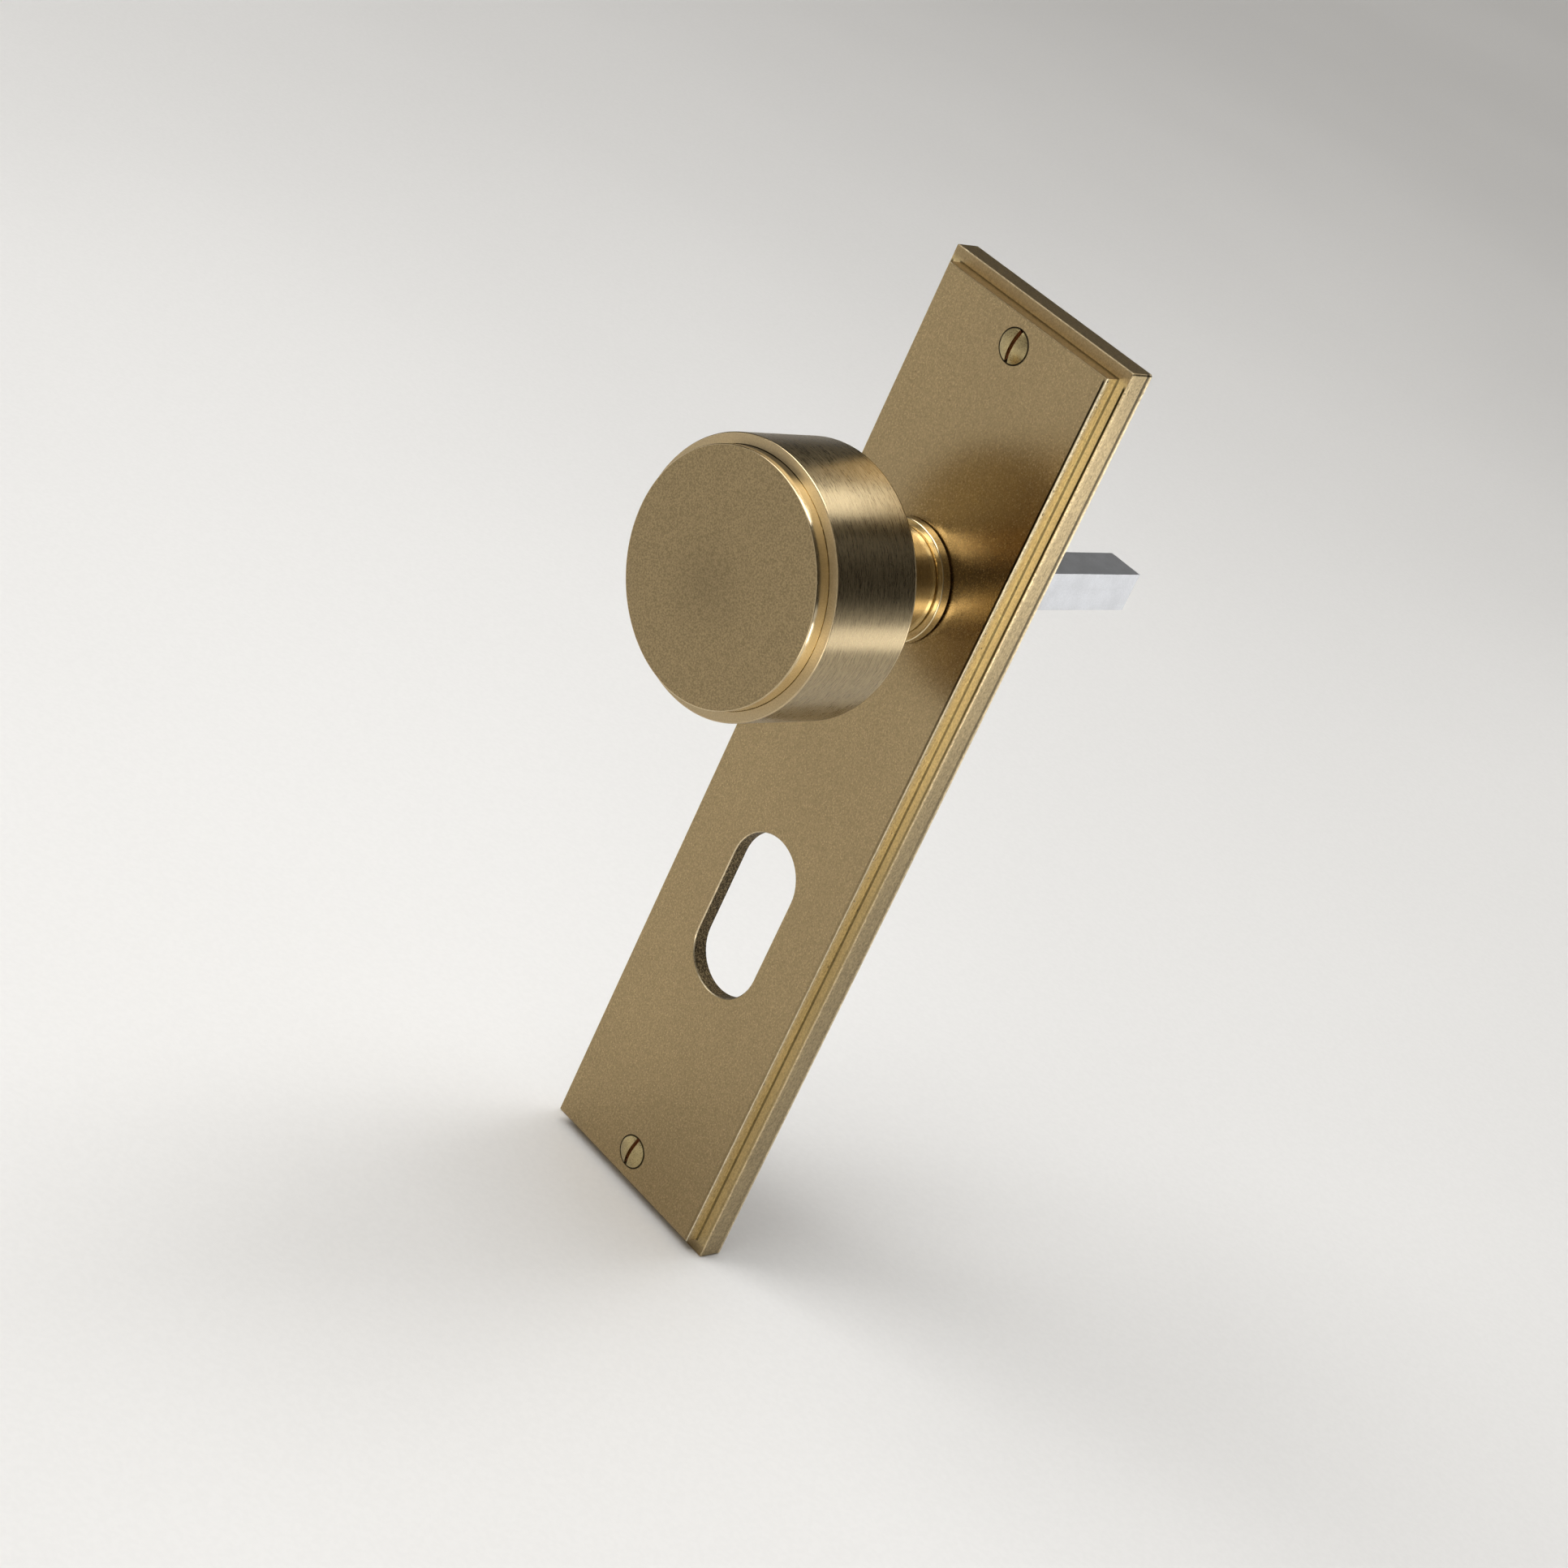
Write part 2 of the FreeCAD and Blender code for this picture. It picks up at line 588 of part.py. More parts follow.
def make_neck():
    """Neck, bearing shank and front stud turned from one bar, bored square for the spindle."""
    groove_radius = NECK_RADIUS - NECK_GROOVE_DEPTH
    neck = turned([
        (0.0, SHANK_END),
        (SHANK_RADIUS - SHANK_CHAMFER, SHANK_END),
        (SHANK_RADIUS, SHANK_END + SHANK_CHAMFER),
        (SHANK_RADIUS, COLLAR_FRONT),
        (groove_radius, COLLAR_FRONT),
        (groove_radius, NECK_START),
        (NECK_RADIUS, NECK_START),
        (NECK_RADIUS, KNOB_REAR),
        (STUD_RADIUS, KNOB_REAR),
        (STUD_RADIUS, STUD_END),
        (0.0, STUD_END),
    ])
    neck = neck.makeFillet(NECK_ROUND, circles_at(neck, NECK_RADIUS, NECK_START))
    full = disc(SHANK_RADIUS, SHANK_END, DRIVER_FRONT)
    neck = neck.cut(full.cut(shank_between_flats(0.0, SHANK_END, DRIVER_FRONT)))
    neck = neck.cut(ring(SHANK_RADIUS, SHANK_RADIUS - CLIP_GROOVE_DEPTH, CLIP_GROOVE_REAR, DRIVER_REAR))
    half = SPINDLE_SIZE / 2 + RUNNING_GAP
    neck = neck.cut(slab(2 * half, SHANK_END, SPINDLE_FRONT + RUNNING_GAP, -half, half))
    neck = neck.cut(Part.makeCylinder(GRUB_RADIUS, NECK_RADIUS, vec(0, -GRUB_OUT, 0), UP * -1))
    for x, z in pair_across(DRIVE_PIN_CIRCLE, 0.0):
        near = KNOB_REAR - DRIVE_PIN_SINK
        neck = neck.cut(disc(DRIVE_PIN_RADIUS + PRESS_GAP, near, KNOB_REAR, x, z))
    return neck


def make_drive_pins():
    near = KNOB_REAR - DRIVE_PIN_SINK
    far = KNOB_REAR + DRIVE_PIN_SINK
    places = pair_across(DRIVE_PIN_CIRCLE, 0.0)
    return Part.makeCompound([disc(DRIVE_PIN_RADIUS, near, far, x, z) for x, z in places])


def make_lock_washer():
    """A split washer between the shell's floor and the nut."""
    outer = NUT_ACROSS_FLATS / 2 + LOCK_WASHER_RIM
    washer = ring(outer, STUD_RADIUS + WASHER_GAP, SHELL_FLOOR, NUT_REAR)
    return washer.cut(slab(LOCK_WASHER_SPLIT, SHELL_FLOOR, NUT_REAR, 0, outer))


def make_clamp_nut():
    """A hexagon nut whose corners are turned down at both ends."""
    flat_radius = NUT_ACROSS_FLATS / 2
    corner_radius = NUT_ACROSS_FLATS / math.sqrt(3)
    rise = (corner_radius - flat_radius) / math.sqrt(3)
    bevelled = turned([
        (STUD_HOLE_RADIUS, NUT_REAR),
        (flat_radius, NUT_REAR),
        (corner_radius, NUT_REAR + rise),
        (corner_radius, NUT_FRONT - rise),
        (flat_radius, NUT_FRONT),
        (STUD_HOLE_RADIUS, NUT_FRONT),
    ])
    return hexagon(NUT_ACROSS_FLATS, NUT_REAR, NUT_FRONT).common(bevelled)


def make_collar_ring():
    """The ring that covers the bearing, set off from the neck by a fine groove."""
    collar = ring(COLLAR_RADIUS, SHANK_RADIUS + PRESS_GAP, COLLAR_REAR, COLLAR_FRONT)
    collar = collar.makeFillet(COLLAR_ROUND, circles_at(collar, COLLAR_RADIUS, COLLAR_FRONT))
    return collar.makeChamfer(EDGE_EASE, circles_at(collar, COLLAR_RADIUS, COLLAR_REAR))


def make_driver_plate():
    """A pressed plate on the shank's flats: an arm for the stops below, a fork for the spring above."""
    plate = disc(DRIVER_RADIUS, DRIVER_REAR, DRIVER_FRONT)
    plate = plate.fuse(slab(STOP_ARM_WIDTH, DRIVER_REAR, DRIVER_FRONT, -ARM_REACH, 0))
    plate = plate.fuse(slab(FORK_ARM_WIDTH, DRIVER_REAR, DRIVER_FRONT, 0, ARM_REACH))
    offset = WIRE_RADIUS + SPRING_LEG_GAP + FORK_TAB_THICKNESS / 2
    low = ARM_REACH - FORK_TAB_LENGTH
    tab_front = COIL_REAR + WIRE_RADIUS + FORK_TAB_COVER
    for x in (-offset, offset):
        plate = plate.fuse(slab(FORK_TAB_THICKNESS, DRIVER_REAR, tab_front, low, ARM_REACH, x))
    return plate.removeSplitter().cut(shank_between_flats(PRESS_GAP, DRIVER_REAR, DRIVER_FRONT))


def make_retaining_ring():
    """An open spring ring in the shank's groove, with an eye at each end for the pliers."""
    inner = SHANK_RADIUS - CLIP_GROOVE_DEPTH + PRESS_GAP
    outer = inner + CLIP_WIDTH
    half = math.radians(CLIP_OPENING / 2)
    side = 2 * outer * math.sin(half)
    depth = 2 * outer * math.cos(half)
    opening = prism([(0.0, 0.0), (-side, -depth), (side, -depth)], CLIP_REAR, DRIVER_REAR)
    clip = ring(outer, inner, CLIP_REAR, DRIVER_REAR).cut(opening)
    eye_circle = inner + CLIP_EAR_RADIUS
    lean = half + CLIP_EAR_RADIUS / eye_circle
    for x, z in pair_across(eye_circle * math.sin(lean), -eye_circle * math.cos(lean)):
        clip = clip.fuse(disc(CLIP_EAR_RADIUS, CLIP_REAR, DRIVER_REAR, x, z))
        clip = clip.cut(disc(CLIP_EAR_HOLE_RADIUS, CLIP_REAR, DRIVER_REAR, x, z))
    return clip.cut(disc(inner, CLIP_REAR, DRIVER_REAR)).removeSplitter()


def make_spindle():
    """The square bar that turns the lock's follower, with its free end bevelled."""
    half = SPINDLE_SIZE / 2
    bar = slab(SPINDLE_SIZE, -SPINDLE_REACH, SPINDLE_FRONT, -half, half)
    return bar.makeChamfer(SPINDLE_CHAMFER, edges_where(bar, lambda p: abs(p.y - SPINDLE_REACH) < 1e-6))


def make_grub_screw():
    """The set screw under the neck, its end on the spindle and a hexagon socket outside."""
    start = SPINDLE_SIZE / 2 + PRESS_GAP
    end = NECK_RADIUS - GRUB_SINK
    radius = GRUB_RADIUS - PRESS_GAP
    body = disc(radius, start, end)
    body = body.makeChamfer(radius / 3, circles_at(body, radius, start))
    body = body.cut(hexagon(GRUB_SOCKET, end - GRUB_SOCKET_DEPTH, end))
    body.rotate(vec(0, 0, 0), vec(1, 0, 0), 90)
    body.translate(vec(0, -GRUB_OUT, 0))
    return body


NODES = {
    "backplate": make_backplate,
    "bearing_bush": make_bearing_bush,
    "thrust_washer": make_thrust_washer,
    "stop_pins": make_stop_pins,
    "spring_posts": make_spring_posts,
    "return_spring": make_return_spring,
    "fixing_screws": make_fixing_screws,
    "knob_shell": make_knob_shell,
    "face_cap": make_face_cap,
    "cap_seal": make_cap_seal,
    "neck": make_neck,
    "drive_pins": make_drive_pins,
    "lock_washer": make_lock_washer,
    "clamp_nut": make_clamp_nut,
    "collar_ring": make_collar_ring,
    "bearing_washer": make_bearing_washer,
    "driver_plate": make_driver_plate,
    "retaining_ring": make_retaining_ring,
    "spindle": make_spindle,
    "grub_screw": make_grub_screw,
}

os.makedirs("parts", exist_ok=True)
for name, make in NODES.items():
    shape = make()
    shape.exportStep("parts/" + name + ".step")
    print(name, "solids", len(shape.Solids), "valid", shape.isValid(), "volume", round(shape.Volume, 1))
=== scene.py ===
"""A satin brass door knob on its backplate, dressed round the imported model, with stage and camera."""

import math
from types import SimpleNamespace

import bmesh
import bpy
from mathutils import Matrix, Vector


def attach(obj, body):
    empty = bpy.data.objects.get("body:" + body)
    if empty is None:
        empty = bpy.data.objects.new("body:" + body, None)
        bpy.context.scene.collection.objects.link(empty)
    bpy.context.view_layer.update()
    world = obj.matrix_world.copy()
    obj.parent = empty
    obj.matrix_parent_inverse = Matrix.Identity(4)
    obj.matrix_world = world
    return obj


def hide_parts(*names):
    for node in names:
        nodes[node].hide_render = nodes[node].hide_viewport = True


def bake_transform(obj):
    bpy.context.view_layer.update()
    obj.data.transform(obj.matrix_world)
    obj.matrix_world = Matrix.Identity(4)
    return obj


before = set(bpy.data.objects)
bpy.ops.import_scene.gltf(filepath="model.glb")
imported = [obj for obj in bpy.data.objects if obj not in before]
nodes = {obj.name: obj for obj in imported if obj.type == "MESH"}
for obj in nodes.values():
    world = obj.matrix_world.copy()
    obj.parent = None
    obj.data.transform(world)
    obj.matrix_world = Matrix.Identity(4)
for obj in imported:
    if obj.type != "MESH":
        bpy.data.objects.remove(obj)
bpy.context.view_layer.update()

MM = 0.001

# The photograph's viewpoint, in metres in the part's frame, and its lens in millimetres.
EYE = Vector((0.355350, -0.482807, 0.218268))
LOOK = Vector((-0.551881, 0.727289, -0.408017))
RIGHT = Vector((0.615663, 0.685356, 0.388903))
LENS = 80.108
SENSOR = 36.0
CLIP = (0.01, 50.0)

# The sockets of a mixing node that take the two values and give the result.
MIX_SOCKETS = {"FLOAT": (2, 3, 0), "RGBA": (6, 7, 2)}


def solid(colour):
    """A colour with its fourth number, or a socket as it is."""
    if isinstance(colour, bpy.types.NodeSocket) or len(colour) == 4:
        return colour
    return (*colour, 1.0)


class Graph:
    """Short calls that add nodes to a tree and link them. A value is a number, a colour or a socket."""

    def __init__(self, tree):
        self.tree = tree

    def node(self, kind, inputs=None, **settings):
        made = self.tree.nodes.new("ShaderNode" + kind)
        for key, value in settings.items():
            setattr(made, key, value)
        for key, value in (inputs or {}).items():
            self.feed(made.inputs[key], value)
        return made

    def feed(self, socket, value):
        if isinstance(value, bpy.types.NodeSocket):
            self.tree.links.new(value, socket)
        else:
            socket.default_value = value

    def maths(self, operation, a, b=0.0):
        return self.node("Math", {0: a, 1: b}, operation=operation).outputs[0]

    def times(self, total, *others):
        """The product of several numbers."""
        for other in others:
            total = self.maths("MULTIPLY", total, other)
        return total

    def most(self, largest, *others):
        """The largest of several numbers."""
        for other in others:
            largest = self.maths("MAXIMUM", largest, other)
        return largest

    def remainder(self, share):
        """What a share leaves of 1."""
        return self.maths("SUBTRACT", 1.0, share)

    def vector(self, operation, a, b=(0, 0, 0)):
        made = self.node("VectorMath", {0: a, 1: b}, operation=operation)
        return made.outputs["Value" if operation in ("LENGTH", "DOT_PRODUCT") else "Vector"]

    def combined(self, x, y, z):
        return self.node("CombineXYZ", {0: x, 1: y, 2: z}).outputs[0]

    def axes(self, of):
        """The three numbers of a vector or colour."""
        return self.node("SeparateXYZ", {0: of}).outputs

    def ramp(self, value, low, high, out_low=0.0, out_high=1.0):
        """A smooth run between two numbers, while the value runs from low to high."""
        limits = {"From Min": low, "From Max": high, "To Min": out_low, "To Max": out_high}
        made = self.node("MapRange", {"Value": value, **limits}, interpolation_type="SMOOTHSTEP")
        return made.outputs["Result"]

    def fall(self, value, low, high):
        """1 up to the first limit, and 0 from the second."""
        return self.ramp(value, low, high, 1.0, 0.0)

    def band(self, value, low, high, soft):
        """1 where the value lies between the two limits, fading to 0 over the soft width."""
        return self.times(self.ramp(value, low - soft, low), self.fall(value, high, high + soft))

    def mix(self, share, a, b):
        """A mixed number or colour."""
        colour = isinstance(a, tuple) or (isinstance(a, bpy.types.NodeSocket) and a.type == "RGBA")
        kind = "RGBA" if colour else "FLOAT"
        first, second, result = MIX_SOCKETS[kind]
        made = self.node("Mix", {0: share}, data_type=kind)
        self.feed(made.inputs[first], solid(a) if colour else a)
        self.feed(made.inputs[second], solid(b) if colour else b)
        return made.outputs[result]

    def layered(self, value, *layers):
        """A number or colour with others laid over it, each where its own share says."""
        for share, layer in layers:
            value = self.mix(share, value, layer)
        return value

    def tinted(self, colour, share):
        """A colour made darker or lighter by a number."""
        return self.node("VectorMath", {0: colour, "Scale": share}, operation="SCALE").outputs["Vector"]


class Finish(Graph):
    """A material with one surface shader."""

    def __init__(self, name):
        self.material = bpy.data.materials.new(name)
        self.material.use_nodes = True
        super().__init__(self.material.node_tree)
        self.shader = self.tree.nodes["Principled BSDF"]
        self.where = self.node("TexCoord").outputs["Object"]
        self.normal = self.node("NewGeometry").outputs["Normal"]

    def set(self, **values):
        """Feeds the shader's sockets, named with underscores for spaces."""
        for key, value in values.items():
            self.feed(self.shader.inputs[key.replace("_", " ")], value)

    def noise(self, size, detail=2.0, rough=0.5, warp=0.0, where=None):
        """Noise with features of about this many millimetres, or this many along X, Y and Z."""
        sizes = size if isinstance(size, tuple) else (size, size, size)
        spot = self.vector("MULTIPLY", where or self.where, tuple(1 / (s * MM) for s in sizes))
        settings = {"Scale": 1.0, "Detail": detail, "Roughness": rough, "Distortion": warp}
        return self.node("TexNoise", {"Vector": spot, **settings}).outputs["Fac"]

    def bump(self, height, depth):
        """A bump whose height runs from 0 to this many millimetres."""
        inputs = {"Height": height, "Strength": 1.0, "Distance": depth * MM}
        return self.node("Bump", inputs).outputs["Normal"]

    def across_turning(self):
        """The direction across the grooves of a piece turned about the Y axis."""
        along = self.node(
            "VectorTransform",
            {0: self.vector("CROSS_PRODUCT", (0, 1, 0), self.where)},
            vector_type="VECTOR",
            convert_from="OBJECT",
            convert_to="WORLD",
        ).outputs[0]
        return self.vector("NORMALIZE", self.vector("CROSS_PRODUCT", self.normal, along))


def dress(material, *names):
    """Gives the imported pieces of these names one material."""
    for name in names:
        slots = nodes[name].data.materials
        slots.clear()
        slots.append(material)


# Colours.
BRASS = (0.335, 0.249, 0.131)
# Painted highlight: the long ledges lighter than the ledges at the plate's ends.
LEDGE_BRASS = (0.53, 0.410, 0.210)
CUT_BRASS = (0.375, 0.290, 0.158)
FACE_BRASS = (0.285, 0.213, 0.112)
# Partly polished brass, partly painted highlight: the plate's step walls drawn pale.
STEP_BRASS = (0.85, 0.755, 0.55)
BARREL_BRASS = (0.365, 0.288, 0.168)
# Painted highlight on the left rim, the cut-out's mouth and the sides' back edges.
ARRIS_BRASS = (0.72, 0.60, 0.39)
# Painted highlight on the plate's outer eased edges and on the knob's rounds.
EDGE_BRASS = (0.50, 0.395, 0.235)
POLISHED = (0.90, 0.78, 0.54)
# Painted light: the knob's rear face drawn lighter, for the light bounced between it and the plate.
BACK_BRASS = (0.76, 0.620, 0.375)
NECK_BRASS = (0.66, 0.545, 0.34)
RIM_BRASS = (0.46, 0.36, 0.215)
SCREW_BRASS = (0.43, 0.345, 0.175)
SLOT_BROWN = (0.36, 0.15, 0.055)
ZINC = (0.50, 0.51, 0.53)
SPRING_GREY = (0.30, 0.31, 0.33)
BLACKENED = (0.10, 0.10, 0.11)
WHITE_PLASTIC = (0.78, 0.77, 0.72)
BROWN_PLASTIC = (0.11, 0.07, 0.045)
RUBBER_BLACK = (0.03, 0.03, 0.03)
FLOOR_PALE = (0.78, 0.775, 0.765)

# Places on the plate, in metres. Each pair holds two limits: a ramp runs between them, and a band is
# full between them. OFF_Z counts from the plate's middle, X and OFF_X from the knob's axis, and Y is
# depth.
PLATE_MIDDLE_Z = -0.042
LEDGE_Y = (-0.0066, -0.0060)
LEDGE_ENDS_OFF_Z = (0.0950, 0.0966)
FIELD_Y = (-0.0079, -0.0073)
CUTOUT_X = (-0.0087, 0.0087)
CUTOUT_Z = (-0.0927, -0.0573)
CUTOUT_WALL_Y = (-0.0082, -0.0080)
STEP_WALL_OFF_X = (0.0205, 0.0215)
OUTER_RIM_OFF_X = (0.0226, 0.0229)
OUTER_RIM_OFF_Z = (0.0974, 0.0977)
OUTER_SIDE_OFF_X = (0.0229, 0.0232)
LEFT_RIM_X = (-0.0212, -0.0205)
RIM_SOFT = 0.0004
STEP_SOFT = 0.0003

# The marks on it: painted shade in the corner at the ledge's foot, painted dark reflections along the
# rims, and painted highlights beside the ledge and on the sides' back edges.
FOOT_OFF_X = (0.0209, 0.02122)
FOOT_OFF_Z = (0.0954, 0.09572)
FOOT_STOPS_OFF_Z = (0.0956, 0.0957)
FOOT_STOPS_OFF_X = (0.0211, 0.0212)
FOOT_SOFT = 0.0001
FIELD_LINE_X = (0.02044, 0.02078)
LEDGE_LINE_OFF_X = (0.02274, 0.02312)
LINE_STOPS_OFF_Z = (0.0945, 0.0955)
LINE_FADES_Z = (-0.080, 0.025)
LINE_SOFT = 0.00008
BACK_LINE_Y = (-0.00125, -0.0008)
BACK_LINE_SOFT = 0.0002
BELOW_LEDGE_Y = (-0.0051, -0.0041)
ABOVE_FOOT_Y = (-0.0058, -0.0053)
ABOVE_FOOT_SOFT = 0.00015
RUBBED_Y = (-0.0005, -0.00035)
TARNISH_Z = (0.042, 0.054)

# Small pits: one in some of the cells of a pattern, as large as these shares of a cell.
CELLS_PER_METRE = 520.0
PIT_SIZE = (0.04, 0.13)
PIT_RARITY = (0.86, 0.90)

# A noise's value runs from 0 to 1, and these are its limits in a ramp: the closer, the more contrast.
NOISE_MIDDLE = (0.3, 0.7)
NOISE_HALF = (0.25, 0.75)
NOISE_MOST = (0.2, 0.8)

# How deep the bumps are, in millimetres.
PLATE_DEPTH = 0.012
FLECK_DEPTH = 0.004

# Which way a surface faces, by its normal's Y: to the front, to the rear, and where an eased edge ends.
# By its normal's X and Z: a side, an end, and the upper half of an eased edge.
FRONT_NY = (-0.985, -0.93)
REAR_NY = (0.55, 0.85)
ARRIS_NY = (-0.5, -0.25)
SIDE_NX = (0.6, 0.8)
END_NZ = (0.4, 0.7)
UPPER_NZ = (0.12, 0.3)

# The screws, in metres: their axes' heights, the painted shade round the holes and heads, and how deep
# slot and thread lie.
SCREW_Z = (0.048, -0.132)
HOLE_DIRT_R = (0.0034, 0.0035)
HEAD_DIRT_R = (0.00306, 0.00318)
SLOT_Y = (-0.0082, -0.0070)
SLOT_SOFT = 0.0001
THREAD_Y = (-0.0070, -0.0066)


def from_screws(f, x, z):
    """The distance to the nearest screw's axis."""
    near = 1.0
    for screw_z in SCREW_Z:
        off = f.combined(x, 0.0, f.maths("SUBTRACT", z, screw_z))
        near = f.maths("MINIMUM", near, f.vector("LENGTH", off))
    return near


def plate_places(f, x, y, z):
    """Numbers from 0 to 1 that say where each surface and each mark of the plate is."""
    nx, ny, nz = f.axes(f.normal)
    off_x = f.maths("ABSOLUTE", x)
    off_z = f.maths("ABSOLUTE", f.maths("SUBTRACT", z, PLATE_MIDDLE_Z))
    at = SimpleNamespace()

    # The surfaces.
    front = f.fall(ny, *FRONT_NY)
    at.rear = f.ramp(ny, *REAR_NY)
    at.sides = f.remainder(f.maths("ADD", front, at.rear))
    at.ledge = f.times(front, f.ramp(y, *LEDGE_Y))
    at.long_ledge = f.times(at.ledge, f.fall(off_z, *LEDGE_ENDS_OFF_Z))
    field = f.times(front, f.fall(y, *FIELD_Y))
    in_cutout = f.times(f.band(x, *CUTOUT_X, RIM_SOFT), f.band(z, *CUTOUT_Z, RIM_SOFT))
    at.sawn = f.times(in_cutout, at.sides, f.ramp(y, *CUTOUT_WALL_Y))
    ends = f.times(at.sides, f.ramp(f.maths("ABSOLUTE", nz), *END_NZ))
    at.cut = f.times(at.sides, f.remainder(at.sawn), f.remainder(ends))
    facing_x = f.ramp(f.maths("ABSOLUTE", nx), *SIDE_NX)
    at.step_wall = f.times(at.sides, facing_x, f.band(off_x, *STEP_WALL_OFF_X, STEP_SOFT))
    at.outer_side = f.times(at.sides, f.ramp(off_x, *OUTER_SIDE_OFF_X))

    # The eased edges. The outer ones, the left rim, the cut-out's mouth and the sides' back edges get
    # painted highlights.
    at.arris = f.times(f.ramp(ny, *FRONT_NY), f.fall(ny, *ARRIS_NY))
    outer = f.most(f.ramp(off_x, *OUTER_RIM_OFF_X), f.ramp(off_z, *OUTER_RIM_OFF_Z))
    at.worn = f.times(at.arris, outer)
    at.top_arris = f.times(at.arris, f.ramp(nz, *UPPER_NZ))
    left_arris = f.times(at.arris, f.band(x, *LEFT_RIM_X, RIM_SOFT))
    mouth = f.times(at.arris, in_cutout)
    rubbed = f.times(at.outer_side, f.ramp(y, *RUBBED_Y))
    at.bright = f.most(mouth, rubbed, left_arris)

    # Painted shade: a dark ring round each screw hole and in the corner behind the ledge.
    long_foot = f.times(f.band(off_x, *FOOT_OFF_X, FOOT_SOFT), f.fall(off_z, *FOOT_STOPS_OFF_Z))
    short_foot = f.times(f.band(off_z, *FOOT_OFF_Z, FOOT_SOFT), f.fall(off_x, *FOOT_STOPS_OFF_X))
    foot = f.times(f.most(long_foot, short_foot), at.ledge, 0.75)
    at.dirt = f.most(f.fall(from_screws(f, x, z), *HOLE_DIRT_R), foot)

    # Painted dark reflections: thin lines along the long edges, which fade towards the plate's lower end.
    field_line = f.times(field, f.band(x, *FIELD_LINE_X, LINE_SOFT))
    ledge_line = f.times(at.ledge, f.band(off_x, *LEDGE_LINE_OFF_X, LINE_SOFT))
    front_lines = f.times(f.most(field_line, ledge_line), f.fall(off_z, *LINE_STOPS_OFF_Z))
    back_line = f.times(at.outer_side, f.band(y, *BACK_LINE_Y, BACK_LINE_SOFT), 0.8)
    at.dark_lines = f.times(f.most(front_lines, back_line), f.ramp(z, *LINE_FADES_Z, 0.2, 1.0))

    # Painted highlights: the lighter strips beside the ledge.
    at.below_ledge = f.times(at.outer_side, f.fall(y, *BELOW_LEDGE_Y))
    at.above_foot = f.times(at.step_wall, f.band(y, *ABOVE_FOOT_Y, ABOVE_FOOT_SOFT))
    return at


